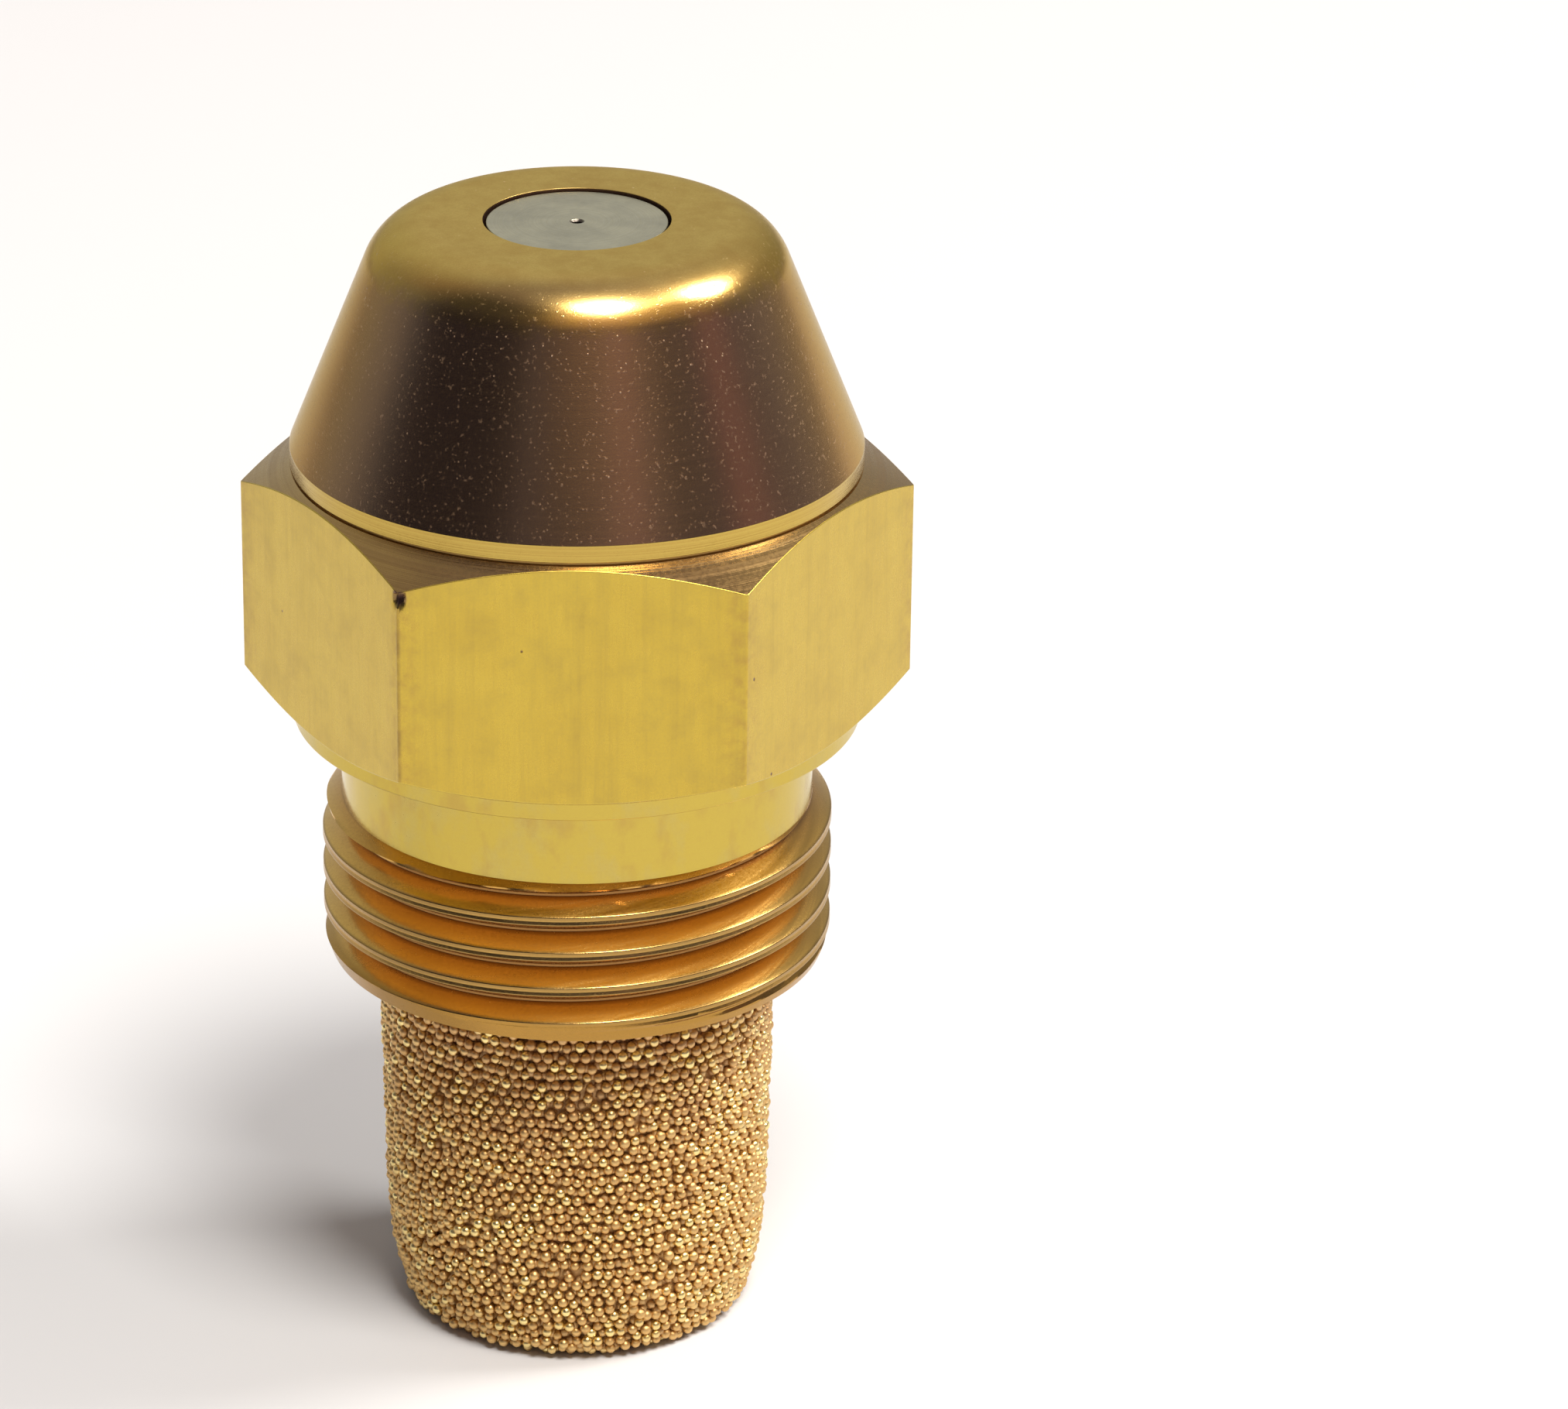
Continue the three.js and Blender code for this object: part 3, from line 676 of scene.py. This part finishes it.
def filter_path(inset):
    """Points (radius, height) down the filter's outside and in over its bottom, moved inward by inset."""
    foot = np.array(FILTER_OUTLINE[1])
    round_radius = foot[1]
    centre = np.array([foot[0] - round_radius, round_radius])
    turns = np.linspace(0, -math.pi / 2, 9)
    arc = centre + round_radius * np.stack([np.cos(turns), np.sin(turns)], -1)
    path = np.array([*FILTER_OUTLINE[:1:-1], *arc, (0.0, 0.0)])
    along = np.gradient(path, axis=0)
    inward = unit(np.stack([along[:, 1], -along[:, 0]], -1))
    inward[-1] = (0, 1)
    inward[0] = (-1, 0)
    moved = path + inward * inset
    moved[-1, 0] = 0
    return moved


def seat_path(inset):
    """Points (radius, height) down the part of the filter that sits in the body."""
    radius = FILTER_HIGH[0] - inset
    return np.array([(radius, FILTER_HIGH[2] - inset), (radius, END_Z + 1), (radius, END_Z)])


def ball_places(path, sink, jitter, gaps, seed):
    """Centres of balls along a path: rings packed like a honeycomb that loosens towards the path's end. Some
    are left out as gaps, each sinks a little into the wall, and overlapping balls push each other apart."""
    rng = np.random.default_rng(seed)
    reach = np.concatenate([[0], np.cumsum(np.linalg.norm(np.diff(path, axis=0), axis=1))])
    turns, downs = [], []
    for row, s in enumerate(np.arange(ROW_MARGIN, reach[-1] - ROW_MARGIN, ROW_SPACING)):
        radius = np.interp(s, reach, path[:, 0])
        count = max(5, int(round(2 * math.pi * radius / BALL_SPACING)))
        loosen = jitter * min(1.0, 0.4 + 1.2 * s / reach[-1])
        turns.append((np.arange(count) + 0.5 * (row % 2)) * 2 * math.pi / count
                     + rng.normal(0, loosen, count) / max(radius, 0.5))
        downs.append(s + rng.normal(0, loosen, count))
    turn, down = np.concatenate(turns), np.concatenate(downs)
    kept = rng.random(len(turn)) > gaps
    turn, down = turn[kept], down[kept]
    sunk = sink * rng.random(len(turn)) ** 1.5
    for step in range(PUSH_ROUNDS + 1):
        radius, height = np.interp(down, reach, path[:, 0]), np.interp(down, reach, path[:, 1])
        lower, upper = np.clip(down - 0.02, 0, reach[-1]), np.clip(down + 0.02, 0, reach[-1])
        fall = unit(np.stack([np.interp(upper, reach, path[:, k]) - np.interp(lower, reach, path[:, k])
                              for k in (0, 1)], -1))
        radius, height = radius + fall[:, 1] * sunk, height - fall[:, 0] * sunk
        place = np.stack([radius * np.cos(turn), radius * np.sin(turn), height], -1)
        if step == PUSH_ROUNDS:
            return place
        tree = kdtree.KDTree(len(place))
        for i, point in enumerate(place):
            tree.insert(point, i)
        tree.balance()
        pushes = np.zeros_like(place)
        for i, point in enumerate(place):
            for other, k, distance in tree.find_range(point, BALL_ROOM):
                if k != i and distance > 1e-6:
                    pushes[i] += (point - np.array(other)) / distance * (BALL_ROOM - distance) * PUSH_SHARE
        across = pushes[:, 1] * np.cos(turn) - pushes[:, 0] * np.sin(turn)
        outward = pushes[:, 0] * np.cos(turn) + pushes[:, 1] * np.sin(turn)
        turn = turn + across / np.maximum(radius, 0.3)
        down = np.clip(down + outward * fall[:, 0] + pushes[:, 2] * fall[:, 1], 0, reach[-1])


def ball_template(divisions):
    bm = bmesh.new()
    bmesh.ops.create_icosphere(bm, subdivisions=divisions, radius=1)
    points = np.array([v.co[:] for v in bm.verts])
    faces = np.array([[v.index for v in f.verts] for f in bm.faces])
    bm.free()
    return points, faces


def ball_mesh(name, centres, divisions, material, seed):
    rng = np.random.default_rng(seed)
    points, faces = ball_template(divisions)
    sizes = BALL_RADIUS * rng.uniform(0.88, 1.05, len(centres))
    verts = centres[:, None, :] + points[None] * sizes[:, None, None]
    loops = faces[None] + (np.arange(len(centres)) * len(points))[:, None, None]
    piece = mesh_object(name, verts.reshape(-1, 3), loops.reshape(-1, 3), materials=[material], sharp=math.pi)
    shine = piece.data.attributes.new("shine", "FLOAT", "POINT")
    shine.data.foreach_set("value", np.repeat(rng.random(len(centres)) ** 2, len(points)).astype(np.float32))
    return piece


def filter_core(inset):
    outer = [(r, z, 0) for r, z in filter_path(inset)]
    top = FILTER_HIGH[2]
    return turned_piece("filter_core", [
        (0, FILTER_FLOOR, 0),
        (FILTER_BORE - FILTER_FLOOR_BEVEL, FILTER_FLOOR, 0),
        (FILTER_BORE, FILTER_FLOOR + FILTER_FLOOR_BEVEL, 0),
        (FILTER_BORE, top, 0.05),
        (FILTER_HIGH[0] - inset, top, 0.1),
        *outer,
    ], CORE, columns=160, closed=False)


# ---- assembly ----------------------------------------------------------------------------------


def fit(piece, body, slot, *nodes):
    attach(piece, body)
    if nodes:
        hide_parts(*nodes)


fit(nozzle_body(), "body", "body_brass", "nozzle_body")
fit(orifice_disc(), "disc", "disc_steel", "orifice_disc")
fit(filter_core(CORE_INSET), "filter", "sintered_bronze", "sintered_filter")

outer = ball_places(filter_path(BALL_RADIUS), sink=0.1, jitter=0.07, gaps=0.025, seed=1)
high = outer[:, 2] > BALLS_SPLIT
fit(ball_mesh("filter_balls_top", outer[high], FINE, BALLS, seed=2), "filter", "sintered_bronze")
fit(ball_mesh("filter_balls_low", outer[~high], FINE, BALLS, seed=5), "filter", "sintered_bronze")
seat = ball_places(seat_path(BALL_RADIUS), sink=0.06, jitter=0.03, gaps=0.01, seed=6)
fit(ball_mesh("filter_balls_seat", seat, FINE, BALLS, seed=7), "filter", "sintered_bronze")
inner = np.concatenate([ball_places(filter_path(INNER_INSET), sink=0.05, jitter=0.06, gaps=0.01, seed=3),
                        ball_places(seat_path(INNER_INSET), sink=0.05, jitter=0.04, gaps=0.01, seed=8)])
fit(ball_mesh("filter_inner_balls", inner, COARSE, CORE, seed=4), "filter", "sintered_bronze")

for node, material in (("distributor", INNER_STEEL), ("lock_screw", SCREW)):
    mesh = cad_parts[node].data
    mesh.materials.clear()
    mesh.materials.append(material)

# ---- floor, light and camera -------------------------------------------------------------------

FLOOR_REACH = 1500
FLOOR_DROP = 0.02                       # the floor lies this far under the filter's bottom
FLOOR_FADE = (170, 320)                 # its colour fades between these distances from the object
LAMP_TARGET_HEIGHT = 20
CAMERA_TURN, CAMERA_ELEVATION = math.radians(0.88), math.radians(23.41)
CAMERA_DISTANCE = 182.0
CAMERA_TARGET = Vector((0, 0, FACE_Z - 14.26))
SENSOR_WIDTH, LENS, SHIFT_X = 36.0, 150.27, 0.132


def floor():
    n = Metal("floor_paint")
    n.shader.inputs["Metallic"].default_value = 0.0
    n.shader.inputs["Roughness"].default_value = 0.8
    n.shader.inputs["Specular IOR Level"].default_value = 0.1
    at = n.place()
    away = n.add("VectorMath", {0: at}, operation="LENGTH").outputs["Value"]
    n.link(n.mix(n.remap(away, *FLOOR_FADE, 0, 1), (0.64, 0.64, 0.635), (0.58, 0.575, 0.57)),
           n.shader.inputs["Base Color"])
    signs = ((-1, -1), (1, -1), (1, 1), (-1, 1))
    corners = [(x * FLOOR_REACH, y * FLOOR_REACH, -FLOOR_DROP) for x, y in signs]
    obj = mesh_object("floor", corners, [(0, 1, 2, 3)], materials=[n.material])


def direction(turn, elevation):
    """A unit vector from the object. turn is counted from the front, towards +X."""
    return Vector((math.sin(turn) * math.cos(elevation), -math.cos(turn) * math.cos(elevation),
                   math.sin(elevation)))


def lamp(name, turn, elevation, distance_mm, width_mm, height_mm, radiance, color):
    """An oval soft lamp aimed at the object, placed by its direction in degrees."""
    away = direction(math.radians(turn), math.radians(elevation))
    data = bpy.data.lights.new(name, "AREA")
    data.shape = "ELLIPSE"
    data.size, data.size_y = width_mm * MM, height_mm * MM
    data.energy = radiance * math.pi * math.pi / 4 * data.size * data.size_y
    data.color = color
    obj = bpy.data.objects.new(name, data)
    bpy.context.scene.collection.objects.link(obj)
    obj.location = (away * distance_mm + Vector((0, 0, LAMP_TARGET_HEIGHT))) * MM
    obj.rotation_euler = away.to_track_quat("Z", "Y").to_euler()
    obj.visible_camera = False


# what surrounds the object from left of the back, past the front, to right of the back: degrees and radiance,
# low down and higher up
ROOM_LOW = [(-180, .63, .63, .63), (-150, .60, .62, .55), (-125, .37, .38, .36), (-104, .27, .28, .33),
            (-95, .18, .19, .25), (-88, .10, .11, .16), (-80, .05, .05, .08), (-70, .03, .03, .05),
            (-40, .03, .03, .05), (-30, .045, .045, .07), (-22, .10, .10, .15), (-8, .085, .085, .13),
            (5, .10, .10, .15), (13, .15, .14, .20), (19, .25, .20, .27), (26, .25, .19, .26),
            (33, .16, .15, .21), (46, .09, .09, .13), (58, .10, .10, .15), (65, .14, .12, .18),
            (72, .27, .18, .24), (80, .22, .16, .22), (88, .16, .15, .21), (98, .17, .17, .23),
            (110, .23, .23, .28), (132, .35, .34, .32), (150, .40, .40, .38), (180, .63, .63, .63)]
ROOM_HIGH = [(-180, .60, .58, .55), (-150, .62, .62, .55), (-130, .50, .48, .40), (-110, .36, .30, .28),
             (-95, .2, .18, .2), (-80, .08, .08, .1), (-45, .06, .06, .09), (-22, .12, .10, .11),
             (-8, .55, .40, .28), (5, .90, .64, .42), (30, 1.0, .72, .46), (52, .70, .50, .32),
             (75, .60, .42, .28), (95, .62, .44, .30), (115, .45, .36, .28), (135, .40, .38, .34),
             (150, .38, .36, .34), (180, .60, .58, .55)]
ROOM_RISE = (math.sin(math.radians(22)), math.sin(math.radians(45)))        # from low to high
CEILING_RISE = (math.sin(math.radians(55)), math.sin(math.radians(75)))
CEILING = (0.19, 0.165, 0.26)


def studio():
    world = bpy.data.worlds.new("studio")
    bpy.context.scene.world = world
    n = Nodes(world)
    toward = n.add("SeparateXYZ", {0: n.add("TexCoord").outputs["Generated"]}).outputs
    turn = n.math("ARCTAN2", toward[0], n.math("MULTIPLY", toward[1], -1.0))
    turn = n.remap(turn, -math.pi, math.pi, 0, 1)
    low, high = (n.ramp(turn, [((degrees + 180) / 360, color) for degrees, *color in room])
                 for room in (ROOM_LOW, ROOM_HIGH))
    sides = n.mix(n.remap(toward[2], *ROOM_RISE, 0, 1), low, high)
    top = n.mix(n.remap(toward[2], *CEILING_RISE, 0, 1), sides, CEILING)
    light = n.add("Background", {"Color": top})
    n.link(light.outputs[0], n.add("OutputWorld").inputs["Surface"])
    lamp("front_lamp", 24, 64, 700, 250, 250, 32, (1, 0.98, 0.96))
    lamp("side_lamp", 100, 46, 700, 220, 220, 30, (1, 0.98, 0.96))
    lamp("wide_lamp", 62, 58, 700, 640, 150, 2.4, (1, 0.96, 0.9))


def camera():
    data = bpy.data.cameras.new("camera")
    data.sensor_width, data.lens, data.shift_x = SENSOR_WIDTH, LENS, SHIFT_X
    data.clip_start, data.clip_end = 0.01, 20
    obj = bpy.data.objects.new("camera", data)
    bpy.context.scene.collection.objects.link(obj)
    away = direction(CAMERA_TURN, CAMERA_ELEVATION)
    obj.location = (away * CAMERA_DISTANCE + CAMERA_TARGET) * MM
    obj.rotation_euler = away.to_track_quat("Z", "Y").to_euler()
    bpy.context.scene.camera = obj


camera()
floor()
studio()
bpy.context.scene.view_settings.view_transform = "Standard"
